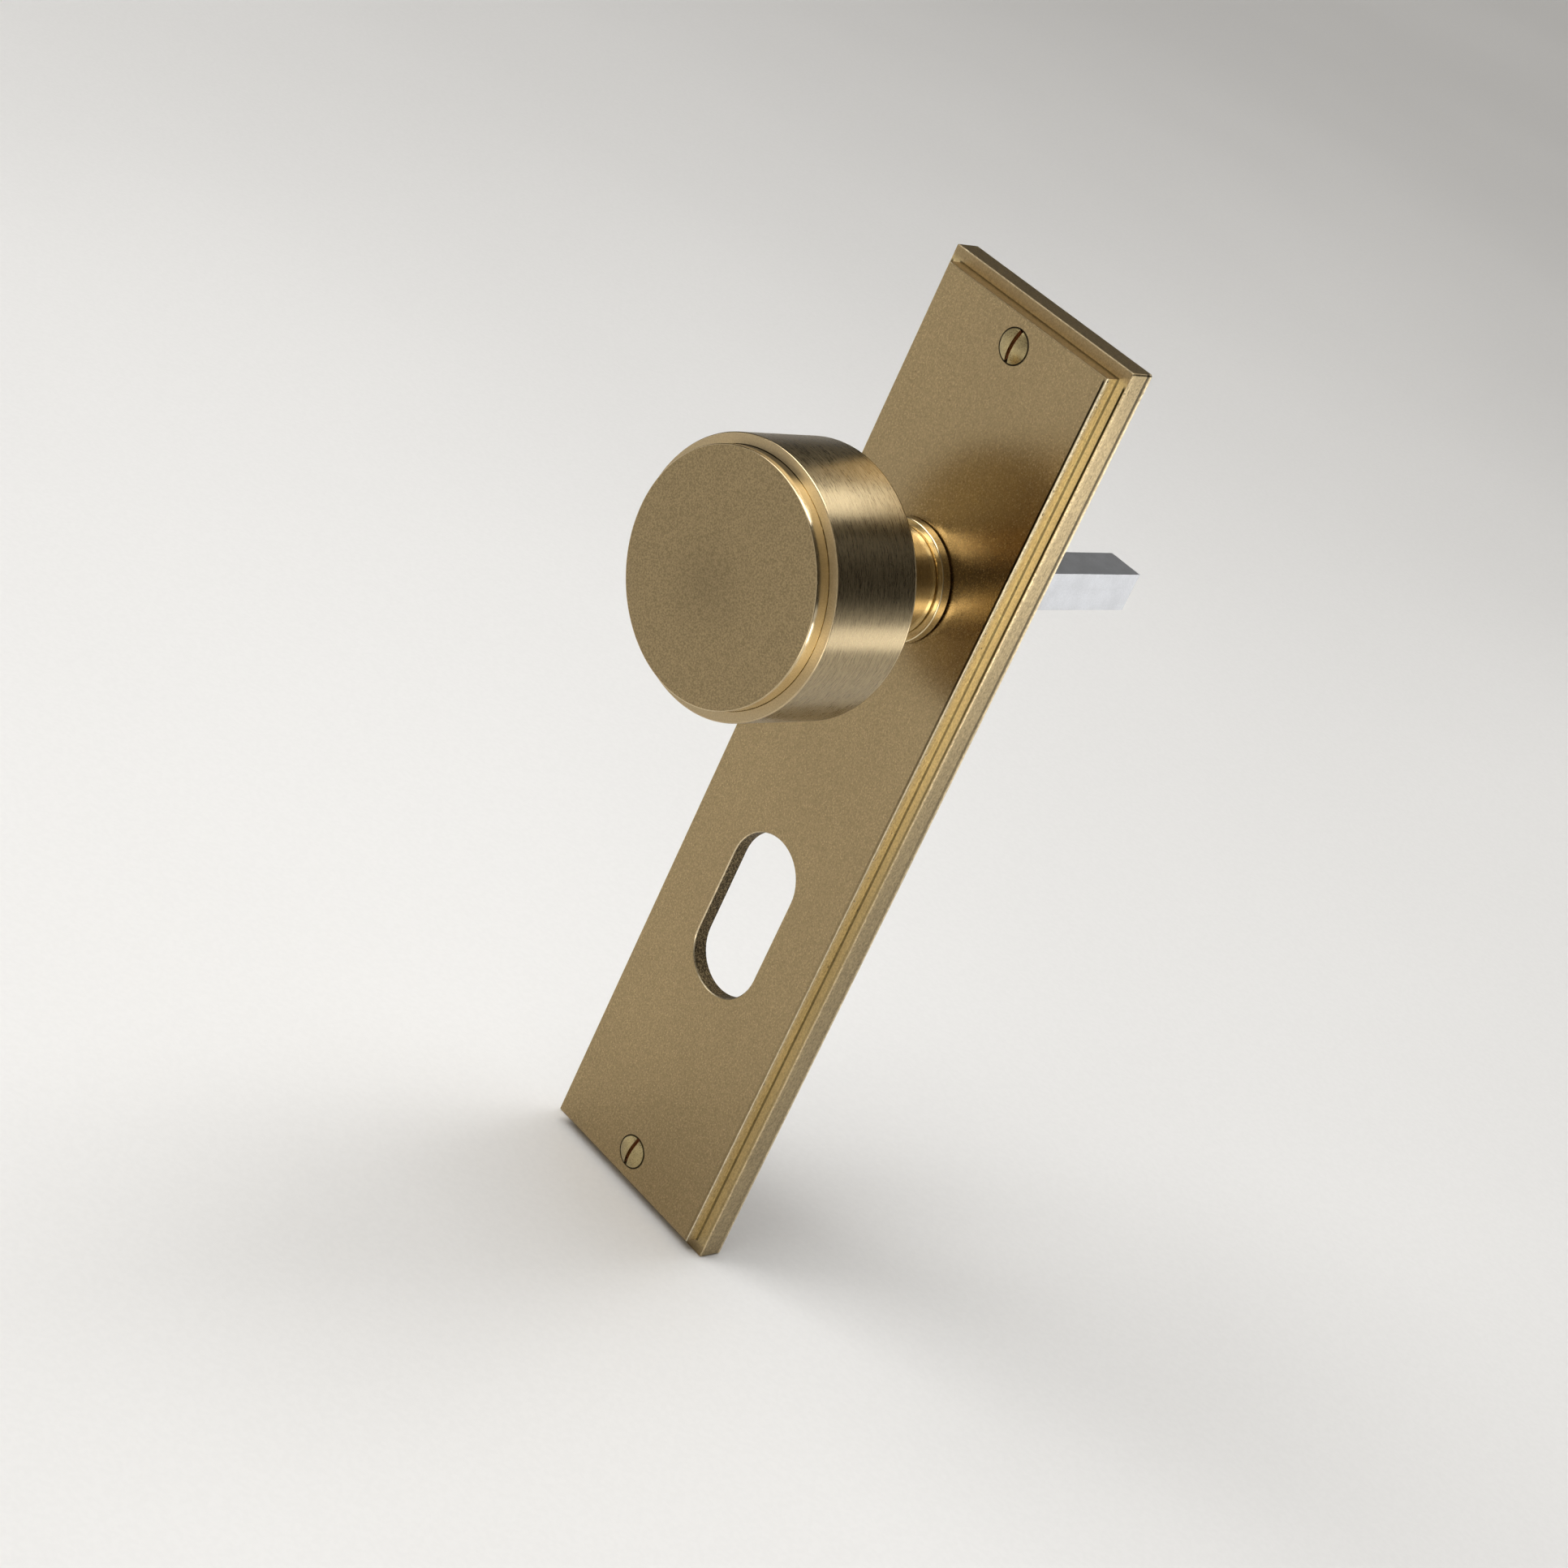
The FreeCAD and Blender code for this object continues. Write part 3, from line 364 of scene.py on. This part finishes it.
def plate_finish():
    """Linished brass in front, brighter sides with small pits, a sawn cut-out, and a milled back, with
    painted highlights, shade and dark reflections along the edges.
    """
    f = Finish("plate_brass")
    x, y, z = f.axes(f.where)
    at = plate_places(f, x, y, z)

    speckle = f.noise((0.30, 0.30, 0.36), 4.0, 0.65)
    lines = f.noise((0.16, 0.6, 7.0), 2.0, 0.5, 0.2)
    side_lines = f.noise((0.5, 0.22, 3.0), 3.0, 0.6)
    blotch = f.noise((0.55, 0.45, 0.7), 3.0, 0.6)
    cloud = f.noise((26, 26, 34))
    saw_marks = f.noise((0.35, 0.30, 0.35), 4.0, 0.7)
    mill_marks = f.noise((0.45, 2.0, 5.0), 3.0, 0.6, 0.3)
    cells = f.node("TexVoronoi", {"Vector": f.where, "Scale": CELLS_PER_METRE}).outputs
    pits = f.times(
        f.fall(cells["Distance"], *PIT_SIZE),
        f.ramp(f.axes(cells["Color"])[0], *PIT_RARITY),
        f.mix(at.sides, 0.35, 1.0),
        f.remainder(at.rear),
    )
    tarnish = f.times(at.outer_side, f.ramp(z, *TARNISH_Z), f.ramp(blotch, 0.52, 0.64))

    # How light the brass is, everywhere and then surface by surface; the painted shade, dark reflections
    # and highlights are among these shares.
    shares = [
        f.ramp(cloud, *NOISE_MIDDLE, 0.97, 1.03),
        f.ramp(speckle, *NOISE_HALF, 0.75, 1.22),
        f.ramp(lines, *NOISE_MIDDLE, 0.97, 1.03),
    ]
    for place, share in (
        (at.sides, f.ramp(side_lines, *NOISE_MIDDLE, 0.88, 1.10)),
        (at.sides, f.ramp(blotch, 0.35, 0.62, 0.78, 1.06)),
        (at.rear, f.ramp(mill_marks, *NOISE_MIDDLE, 0.80, 1.0)),
        (at.sawn, f.ramp(saw_marks, 0.42, 0.62, 0.16, 0.95)),
        (pits, 0.25),
        # Painted shade round the screw holes and at the ledge's foot.
        (at.dirt, 0.12),
        # Painted dark reflections along the edges.
        (at.dark_lines, 0.06),
        # Painted shade on the upper eased edges.
        (at.top_arris, 0.42),
        # Painted highlight beside the ledge, lighter towards the top.
        (at.below_ledge, f.ramp(z, -0.05, 0.02, 1.1, 1.5)),
        # Painted highlight on the step wall: lighter towards the top and along a strip above its foot.
        (at.step_wall, f.times(f.mix(at.above_foot, 0.94, 1.1), f.ramp(z, -0.05, 0.03, 1.0, 1.13))),
        (tarnish, 0.45),
    ):
        shares.append(f.mix(place, 1.0, share))
    colour = f.layered(
        BRASS,
        (at.cut, CUT_BRASS),
        # Partly polished, partly painted highlight: the step wall's paler brass.
        (at.step_wall, STEP_BRASS),
        # Painted highlight: the long ledges' lighter brass.
        (at.long_ledge, LEDGE_BRASS),
        # Painted highlights on the eased edges.
        (at.worn, EDGE_BRASS),
        (at.bright, ARRIS_BRASS),
    )
    roughness = f.layered(
        f.ramp(speckle, *NOISE_MOST, 0.20, 0.29),
        (at.ledge, f.ramp(speckle, *NOISE_MOST, 0.38, 0.50)),
        (at.sides, f.ramp(side_lines, *NOISE_MOST, 0.30, 0.44)),
        (at.rear, f.ramp(mill_marks, *NOISE_MOST, 0.44, 0.60)),
        (at.sawn, 0.62),
        (at.step_wall, 0.24),
        (at.arris, 0.24),
        (at.top_arris, 0.42),
    )
    height = f.layered(
        f.maths("ADD", f.times(lines, 0.3), f.times(speckle, 0.7)),
        (at.sides, f.maths("ADD", f.times(side_lines, 1.2), f.times(speckle, 0.6))),
        (at.rear, f.times(mill_marks, 2.5)),
        (at.sawn, f.times(saw_marks, 9.0)),
    )
    height = f.maths("SUBTRACT", height, f.times(pits, 4.0))
    f.set(Base_Color=f.tinted(colour, f.times(*shares)), Metallic=1.0, Roughness=roughness)
    f.set(Normal=f.bump(height, PLATE_DEPTH))
    return f.material


# Marks of the turned pieces, in metres: how far the lines lean, the painted dark reflection in the face's
# middle, the dark joint beside the cap with painted shade on its upper side and the direction in which
# that lies, and where the neck's shank starts.
LEAN = 0.0022
SMUDGE = (-0.002, -0.056, -0.002)
SMUDGE_R = 0.013
JOINT_WAY = (-0.139, 0.0, 0.990)
JOINT_FACING = (0.90, 0.96)
JOINT_Y = (-0.0552, -0.0546)
SHANK_Y = (-0.0088, -0.0082)


def turned_brass(
    name, base, rough, streak, depth, aniso, grain=0.05, smudge=0.0, joint=False, shank=False
):
    """Brass brushed on the lathe: fine broken lines round the Y axis, a few of them leaning."""
    f = Finish(name)
    x, y, z = f.axes(f.where)
    off_axis = f.combined(x, 0.0, z)
    profile = f.maths("ADD", y, f.vector("LENGTH", off_axis))
    sway = f.maths("SUBTRACT", f.noise(9, 1.0), 0.5)
    bent = f.combined(x, f.maths("ADD", profile, f.times(sway, LEAN)), z)
    fine = f.noise((2.6, 0.17, 2.6), 2.0, 0.6, 0.0, bent)
    short = f.noise((1.1, 0.22, 1.1), 2.0, 0.6, 0.0, bent)
    broad = f.noise((16.0, 0.45, 16.0), 2.0, 0.5, 0.0, bent)
    speckle = f.noise(0.3)
    fine_part = f.times(fine, 0.52)
    both = f.maths("ADD", fine_part, f.maths("ADD", f.times(short, 0.34), f.times(broad, 0.14)))
    share = f.times(
        f.ramp(both, 0.38, 0.62, 1 - streak, 1 + streak),
        f.ramp(speckle, *NOISE_HALF, 1 - grain, 1 + grain),
    )
    roughness = f.ramp(both, *NOISE_MIDDLE, rough - 0.07, rough + 0.07)
    # Painted dark reflection: a soft darker spot in the face's middle.
    if smudge:
        off_smudge = f.vector("LENGTH", f.vector("SUBTRACT", f.where, SMUDGE))
        share = f.times(share, f.ramp(off_smudge, 0.0, SMUDGE_R, 1 - smudge, 1.0))
    # A dark joint beside the cap, with painted shade over the upper side of the cap's step.
    if joint:
        facing = f.vector("DOT_PRODUCT", f.vector("NORMALIZE", off_axis), JOINT_WAY)
        at_joint = f.times(f.ramp(facing, *JOINT_FACING), f.ramp(y, *JOINT_Y))
        share = f.times(share, f.mix(at_joint, 1.0, 0.10))
    if shank:
        at_shank = f.ramp(y, *SHANK_Y)
        base = f.mix(at_shank, base, BRASS)
        roughness = f.mix(at_shank, roughness, f.ramp(both, *NOISE_MIDDLE, 0.30, 0.46))
    f.set(Base_Color=f.tinted(base, share), Metallic=1.0, Roughness=roughness)
    f.set(Normal=f.bump(f.maths("ADD", f.times(fine, 0.6), f.times(short, 0.4)), depth))
    f.set(Anisotropic=aniso, Tangent=f.across_turning())
    return f.material


def plain_metal(name, base, rough):
    """Metal with a faint fleck."""
    f = Finish(name)
    fleck = f.noise(0.4, 3.0, 0.6)
    cloud = f.noise(4)
    share = f.times(f.ramp(fleck, *NOISE_HALF, 0.9, 1.08), f.ramp(cloud, *NOISE_MIDDLE, 0.93, 1.05))
    f.set(Base_Color=f.tinted(base, share), Metallic=1.0)
    f.set(Roughness=f.ramp(fleck, *NOISE_MOST, rough - 0.06, rough + 0.08))
    f.set(Normal=f.bump(fleck, FLECK_DEPTH))
    return f.material


def plastic(name, base, rough):
    """Moulded plastic or rubber."""
    f = Finish(name)
    fleck = f.noise(0.3)
    f.set(Base_Color=f.tinted(base, f.ramp(fleck, *NOISE_HALF, 0.94, 1.04)))
    f.set(Roughness=f.ramp(fleck, *NOISE_MOST, rough - 0.08, rough + 0.08))
    f.set(Normal=f.bump(fleck, FLECK_DEPTH))
    return f.material


def screw_finish():
    """Brass a little greener than the plate, with painted shade round the heads' rims, and brown slots."""
    f = Finish("screw_brass")
    x, y, z = f.axes(f.where)
    fleck = f.noise(0.25, 3.0, 0.6)
    cloud = f.noise(1.5)
    slot = f.band(y, *SLOT_Y, SLOT_SOFT)
    thread = f.ramp(y, *THREAD_Y)
    # Painted shade round each head's rim, above the thread.
    dirt = f.times(f.ramp(from_screws(f, x, z), *HEAD_DIRT_R), f.remainder(thread))
    share = f.times(
        f.ramp(fleck, *NOISE_HALF, 0.90, 1.08),
        f.ramp(cloud, *NOISE_MIDDLE, 0.88, 1.06),
        f.mix(dirt, 1.0, 0.10),
        f.mix(thread, 1.0, 0.80),
    )
    f.set(Base_Color=f.tinted(f.mix(slot, SCREW_BRASS, SLOT_BROWN), share))
    f.set(Metallic=f.mix(slot, 1.0, 0.35))
    f.set(Roughness=f.mix(f.most(slot, dirt), f.ramp(fleck, *NOISE_MOST, 0.24, 0.34), 0.55))
    f.set(Normal=f.bump(fleck, FLECK_DEPTH))
    return f.material


plate_brass = plate_finish()

# Each turned finish: name, colour, roughness, streak, depth in millimetres and anisotropy.
# The face carries a painted dark reflection in its middle.
face_brass = turned_brass("face_brass", FACE_BRASS, 0.40, 0.02, 0.004, 0.2, grain=0.25, smudge=0.14)
rim_brass = turned_brass("rim_brass", RIM_BRASS, 0.50, 0.03, 0.004, 0.2, grain=0.10)
barrel_brass = turned_brass("barrel_brass", BARREL_BRASS, 0.30, 0.19, 0.015, 0.7)
# The cap's step carries painted shade on its upper side at the joint.
step_brass = turned_brass("step_brass", POLISHED, 0.16, 0.05, 0.004, 0.5, joint=True)
# The knob's rounds are drawn lighter, as painted highlight.
arris_brass = turned_brass("arris_brass", EDGE_BRASS, 0.22, 0.06, 0.002, 0.2)
# Painted light: the knob's rear face lighter, for light bounced from the plate.
back_brass = turned_brass("back_brass", BACK_BRASS, 0.28, 0.05, 0.004, 0.2)
neck_brass = turned_brass("neck_brass", NECK_BRASS, 0.19, 0.05, 0.004, 0.6, shank=True)

# The other finishes: name, colour and roughness.
screw_brass = screw_finish()
steel = plain_metal("zinc_steel", ZINC, 0.40)
spring_steel = plain_metal("spring_steel", SPRING_GREY, 0.30)
dark_steel = plain_metal("dark_steel", BLACKENED, 0.42)
white_plastic = plastic("white_plastic", WHITE_PLASTIC, 0.42)
dark_plastic = plastic("dark_plastic", BROWN_PLASTIC, 0.5)
rubber = plastic("black_rubber", RUBBER_BLACK, 0.75)

dress(plate_brass, "backplate")
dress(neck_brass, "neck")
dress(screw_brass, "fixing_screws")
dress(steel, "stop_pins", "spring_posts", "drive_pins", "lock_washer", "clamp_nut")
dress(steel, "driver_plate", "spindle")
dress(spring_steel, "retaining_ring")
dress(dark_steel, "grub_screw")
dress(white_plastic, "bearing_bush")
dress(dark_plastic, "thrust_washer", "bearing_washer")
dress(rubber, "cap_seal")


def placed(name, data):
    """A new object in the scene."""
    obj = bpy.data.objects.new(name, data)
    bpy.context.scene.collection.objects.link(obj)
    return obj


# Turned pieces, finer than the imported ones. A profile lists radius and distance outwards in millimetres,
# the round on that corner, and the number of the material that follows it. A round's own is ARRIS.
BARREL, FACE, STEP, ARRIS, RIM, BACK = range(6)
KNOB_FINISHES = (barrel_brass, face_brass, step_brass, arris_brass, rim_brass, back_brass)
ARC_STEPS = 6
ROUND_STEPS = 240
SHORTEST_RUN = 1e-9
AXIS_R = 1e-6


def rounded(profile):
    """The profile's edges as (start, end, normal at start, normal at end, material)."""
    corners = [Vector((r, out)) for r, out, _, _ in profile]
    count = len(corners)
    starts, ends, arcs = [], [], []
    for i, corner in enumerate(corners):
        radius = profile[i][2]
        back = (corners[i - 1] - corner).normalized()
        ahead = (corners[(i + 1) % count] - corner).normalized()
        if radius == 0:
            starts.append(corner)
            ends.append(corner)
            arcs.append(None)
            continue
        half = back.angle(ahead) / 2
        reach = radius / math.tan(half)
        ends.append(corner + back * reach)
        starts.append(corner + ahead * reach)
        arcs.append(corner + (back + ahead).normalized() * radius / math.sin(half))
    edges = []
    for i in range(count):
        if arcs[i] is not None:
            edges.extend(arc_edges(arcs[i], ends[i], starts[i], is_convex(corners, i)))
        start, end = starts[i], ends[(i + 1) % count]
        run = end - start
        if run.length > SHORTEST_RUN:
            normal = Vector((run.y, -run.x)).normalized()
            edges.append((start, end, normal, normal, profile[i][3]))
    return edges


def arc_edges(centre, begin, finish, convex):
    """The short edges of one round, from its beginning to its finish."""
    first = begin - centre
    full = first.angle_signed(finish - centre)
    outwards = 1.0 if convex else -1.0
    points = [Matrix.Rotation(-full * step / ARC_STEPS, 2) @ first for step in range(ARC_STEPS + 1)]
    edges = []
    for p, q in zip(points, points[1:]):
        normals = (p.normalized() * outwards, q.normalized() * outwards)
        edges.append((centre + p, centre + q, *normals, ARRIS))
    return edges


def is_convex(corners, i):
    """Whether a profile that runs anticlockwise in radius and distance turns left at this corner."""
    a = corners[i] - corners[i - 1]
    b = corners[(i + 1) % len(corners)] - corners[i]
    return a.x * b.y - a.y * b.x > 0


def lathe(name, profile, materials):
    """A closed profile revolved about the Y axis. The profile runs anticlockwise."""
    points, faces, slots, normals = [], [], [], []
    angles = [math.tau * k / ROUND_STEPS for k in range(ROUND_STEPS)]
    index = {}

    def ring(p):
        """The number of the ring's first point, and whether it is a single point on the axis."""
        key = (round(p.x, 5), round(p.y, 5))
        if key not in index:
            index[key] = len(points)
            if p.x < AXIS_R:
                points.append((0.0, -p.y * MM, 0.0))
            else:
                r = p.x * MM
                points.extend((r * math.cos(a), -p.y * MM, r * math.sin(a)) for a in angles)
        return index[key], p.x < AXIS_R

    for start, end, n_start, n_end, slot in rounded(profile):
        if start.x <= AXIS_R and end.x <= AXIS_R:
            continue
        (i, i_axis), (j, j_axis) = ring(start), ring(end)
        for k in range(ROUND_STEPS):
            after = (k + 1) % ROUND_STEPS
            corners = [(i if i_axis else i + k, n_start, k)]
            if not i_axis:
                corners.append((i + after, n_start, after))
            corners.append((j if j_axis else j + after, n_end, after))
            if not j_axis:
                corners.append((j + k, n_end, k))
            faces.append([number for number, _, _ in corners])
            slots.append(slot)
            for _, n, spot in corners:
                a = angles[spot]
                normals.append((n.x * math.cos(a), -n.y, n.x * math.sin(a)))
    mesh = bpy.data.meshes.new(name)
    mesh.from_pydata(points, [], faces)
    for material in materials:
        mesh.materials.append(material)
    mesh.polygons.foreach_set("material_index", slots)
    mesh.polygons.foreach_set("use_smooth", [True] * len(faces))
    mesh.normals_split_custom_set(normals)
    mesh.update()
    return placed(name, mesh)


def dress_turned(name, node, body, profile, materials):
    """A turned piece that rides on a body in place of a packed one."""
    obj = lathe(name, profile, materials)
    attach(obj, body)
    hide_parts(node)


# Sizes of the turned pieces, in millimetres.
KNOB_R = 25.0
KNOB_BACK = 32.8
KNOB_FRONT = 53.1
STUD_R = 6.04
WEB_FRONT = 38.8
SEAL_SEAT_R = 22.0
CAP_SEAT_R = 22.95
CAP_BACK = 47.1
CAP_R = 22.9
CAP_HOLLOW_R = 19.5
CAP_HOLLOW_FRONT = 52.8
CAP_FRONT = 56.0
SEAL_GROOVE_R = 21.9
SEAL_GROOVE = (49.4, 50.6)
COLLAR_BORE_R = 8.02
COLLAR_R = 11.65
COLLAR_BACK = 8.7
COLLAR_FRONT = 10.85

dress_turned("knob_barrel", "knob_shell", "knob", (
    (STUD_R, KNOB_BACK, 0.0, BACK),
    (KNOB_R, KNOB_BACK, 0.8, BARREL),
    (KNOB_R, KNOB_FRONT, 0.22, RIM),
    (CAP_SEAT_R, KNOB_FRONT, 0.08, STEP),
    (CAP_SEAT_R, CAP_BACK, 0.0, STEP),
    (SEAL_SEAT_R, CAP_BACK, 0.0, STEP),
    (SEAL_SEAT_R, WEB_FRONT, 0.0, STEP),
    (STUD_R, WEB_FRONT, 0.0, STEP),
), KNOB_FINISHES)
dress_turned("knob_face", "face_cap", "knob", (
    (0.0, CAP_HOLLOW_FRONT, 0.0, STEP),
    (CAP_HOLLOW_R, CAP_HOLLOW_FRONT, 0.3, STEP),
    (CAP_HOLLOW_R, CAP_BACK, 0.0, STEP),
    (CAP_R, CAP_BACK, 0.0, STEP),
    (CAP_R, SEAL_GROOVE[0], 0.0, STEP),
    (SEAL_GROOVE_R, SEAL_GROOVE[0], 0.0, STEP),
    (SEAL_GROOVE_R, SEAL_GROOVE[1], 0.0, STEP),
    (CAP_R, SEAL_GROOVE[1], 0.0, STEP),
    (CAP_R, CAP_FRONT, 0.20, FACE),
    (0.0, CAP_FRONT, 0.0, FACE),
), KNOB_FINISHES)
dress_turned("neck_collar", "collar_ring", "knob", (
    (COLLAR_BORE_R, COLLAR_BACK, 0.0, BARREL),
    (COLLAR_R, COLLAR_BACK, 0.2, BARREL),
    (COLLAR_R, COLLAR_FRONT, 0.3, BARREL),
    (COLLAR_BORE_R, COLLAR_FRONT, 0.0, BARREL),
), [neck_brass] * 4)


# The return spring: one wire from the plate's leg, round the coil and out along the driver's leg.
# Sizes in millimetres. COIL_OUT says where the coil starts and ends, outwards from the plate's back.
WIRE_R = 0.6
WIRE_SIDES = 20
COIL_R = 12.727
COIL_OUT = (5.55, 2.25)
COIL_STEPS = 120
TURNS = 2
BEND_R = 2.0
BEND_STEPS = 8
LEG_Z = 17.2


def spring_path():
    """The wire's middle line: the plate's leg, a bend, the coil, a bend and the driver's leg."""
    plate_out, knob_out = COIL_OUT
    bend_z = math.sqrt(COIL_R ** 2 + 2 * COIL_R * BEND_R)
    lean = math.atan2(BEND_R, bend_z)
    bend_turn = math.pi / 2 - lean
    bend = []
    for k in range(1, BEND_STEPS):
        a = bend_turn * k / BEND_STEPS
        bend.append((BEND_R * (1 - math.cos(a)), bend_z - BEND_R * math.sin(a)))
    sweep = math.tau * TURNS - 2 * lean
    points = [Vector((0, -plate_out, LEG_Z)), Vector((0, -plate_out, bend_z))]
    points.extend(Vector((-off_x, -plate_out, z)) for off_x, z in bend)
    for k in range(COIL_STEPS + 1):
        a = math.pi / 2 + lean + sweep * k / COIL_STEPS
        out = plate_out + (knob_out - plate_out) * k / COIL_STEPS
        points.append(Vector((COIL_R * math.cos(a), -out, COIL_R * math.sin(a))))
    points.extend(Vector((off_x, -knob_out, z)) for off_x, z in reversed(bend))
    points.extend((Vector((0, -knob_out, bend_z)), Vector((0, -knob_out, LEG_Z))))
    return points


def wire_mesh(name, path, radius, sides, material):
    """A round wire with flat ends, along a path in millimetres."""
    bm = bmesh.new()
    last = len(path) - 1
    side = Vector((0, 1, 0))
    rings = []
    for i, point in enumerate(path):
        heading = (path[min(i + 1, last)] - path[max(i - 1, 0)]).normalized()
        side = (side - heading * side.dot(heading)).normalized()
        other = heading.cross(side)
        ring = []
        for k in range(sides):
            a = math.tau * k / sides
            spot = point + (side * math.cos(a) + other * math.sin(a)) * radius
            ring.append(bm.verts.new(spot * MM))
        rings.append(ring)
    for before, after in zip(rings, rings[1:]):
        for k in range(sides):
            n = (k + 1) % sides
            bm.faces.new((before[k], before[n], after[n], after[k])).smooth = True
    bm.faces.new(list(reversed(rings[0])))
    bm.faces.new(rings[-1])
    bmesh.ops.recalc_face_normals(bm, faces=bm.faces)
    mesh = bpy.data.meshes.new(name)
    bm.to_mesh(mesh)
    bm.free()
    mesh.materials.append(material)
    return placed(name, mesh)


spring = wire_mesh("spring_wire", spring_path(), WIRE_R, WIRE_SIDES, spring_steel)
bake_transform(spring)
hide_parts("return_spring")


# Stage: a plain pale floor under the plate's foot, and soft lamps. Sizes in metres.
FOOT_Z = -0.140
FLOOR_R = 3.2
FLOOR_SIDES = 96
PLATE_CENTRE = (0.0, -0.02, -0.03)
FAR_LAMPS = 6
FAR_LAMP_R = 2.35
FAR_LAMP_Z = 1.6
ROOM_WHITE = (1.0, 0.985, 0.96)
ROOM_AMBER = (1.0, 0.87, 0.66)


def lamp(name, place, target, width, height, radiance, spread=180):
    """A soft rectangular lamp that looks this bright, and shines this many degrees wide."""
    light = bpy.data.lights.new(name, "AREA")
    light.shape = "RECTANGLE"
    light.size = width
    light.size_y = height
    light.spread = math.radians(spread)
    half = light.spread / 2
    light.energy = radiance * math.pi * width * height * (1 - half / math.tan(half))
    obj = placed(name, light)
    obj.location = place
    obj.rotation_euler = (Vector(target) - obj.location).to_track_quat("-Z", "Y").to_euler()
    obj.visible_camera = False


def pale_floor():
    """A round floor."""
    f = Finish("pale_floor")
    cloud = f.ramp(f.noise(300), *NOISE_MIDDLE, 0.98, 1.02)
    fleck = f.ramp(f.noise(1.2), *NOISE_MIDDLE, 0.99, 1.01)
    f.set(Base_Color=f.tinted(FLOOR_PALE, f.times(cloud, fleck)), Roughness=0.85)
    angles = [math.tau * i / FLOOR_SIDES for i in range(FLOOR_SIDES)]
    corners = [(FLOOR_R * math.cos(a), FLOOR_R * math.sin(a), FOOT_Z) for a in angles]
    mesh = bpy.data.meshes.new("floor")
    mesh.from_pydata(corners, [], [tuple(range(FLOOR_SIDES))])
    mesh.materials.append(f.material)
    obj = placed("floor", mesh)


def soft_room():
    """Pale walls up to a little above the horizon, and a dim ceiling that is darkest at the back."""
    world = bpy.data.worlds.new("soft_room")
    world.use_nodes = True
    g = Graph(world.node_tree)
    _, depth, height = g.axes(g.node("TexCoord").outputs["Generated"])
    ceiling = g.ramp(depth, -0.35, 0.15, 0.16, 0.035)
    low_wall = g.ramp(height, 0.03, 0.14, 0.50, ceiling)
    tall_wall = g.ramp(height, 0.09, 0.22, 0.56, ceiling)
    background = g.tree.nodes["Background"].inputs
    g.feed(background["Strength"], g.mix(g.fall(depth, -0.55, -0.15), low_wall, tall_wall))
    g.feed(background["Color"], g.mix(g.ramp(height, 0.10, 0.30), ROOM_WHITE, ROOM_AMBER))
    return world


pale_floor()

# Each lamp: name, place, target, width, height, radiance and spread.
lamp("ceiling_lamp", (-0.5, 0.3, 2.3), (-0.3, 0.2, 0.0), 2.0, 2.0, 1.1)
lamp("key_lamp", (-0.90, -1.12, 1.37), PLATE_CENTRE, 1.1, 1.1, 5.5)
lamp("overhead_strip", (-0.02, 0.0, 0.80), (-0.02, 0.0, 0.0), 0.34, 1.9, 3.2)
lamp("low_lamp_rear", (0.27, 0.31, -0.085), (0.02, -0.03, 0.0), 0.20, 0.10, 3.1, 100)
lamp("low_lamp_front", (0.20, -0.24, -0.085), (0.02, -0.01, 0.01), 0.16, 0.09, 4.5, 100)
lamp("rear_lamp", (0.0, 0.75, 0.22), (0.0, 0.0, -0.04), 0.5, 0.5, 1.2, 70)

# Lamps that shine straight down on the far floor, too narrow to reach the object.
for number in range(FAR_LAMPS):
    angle = math.tau * number / FAR_LAMPS
    far_x, far_y = FAR_LAMP_R * math.cos(angle), FAR_LAMP_R * math.sin(angle)
    far_name = f"far_lamp_{number + 1}"
    lamp(far_name, (far_x, far_y, FAR_LAMP_Z), (far_x, far_y, 0.0), 1.2, 1.2, 2.6, 90)

bpy.context.scene.world = soft_room()
bpy.context.scene.view_settings.view_transform = "Standard"

# Camera.
camera = placed("camera", bpy.data.cameras.new("camera"))
camera.data.sensor_width = SENSOR
camera.data.sensor_height = SENSOR
camera.data.lens = LENS
camera.data.clip_start, camera.data.clip_end = CLIP
facing = Matrix((RIGHT, RIGHT.cross(LOOK), -LOOK)).transposed()
camera.matrix_world = Matrix.Translation(EYE) @ facing.to_4x4()
bpy.context.scene.camera = camera
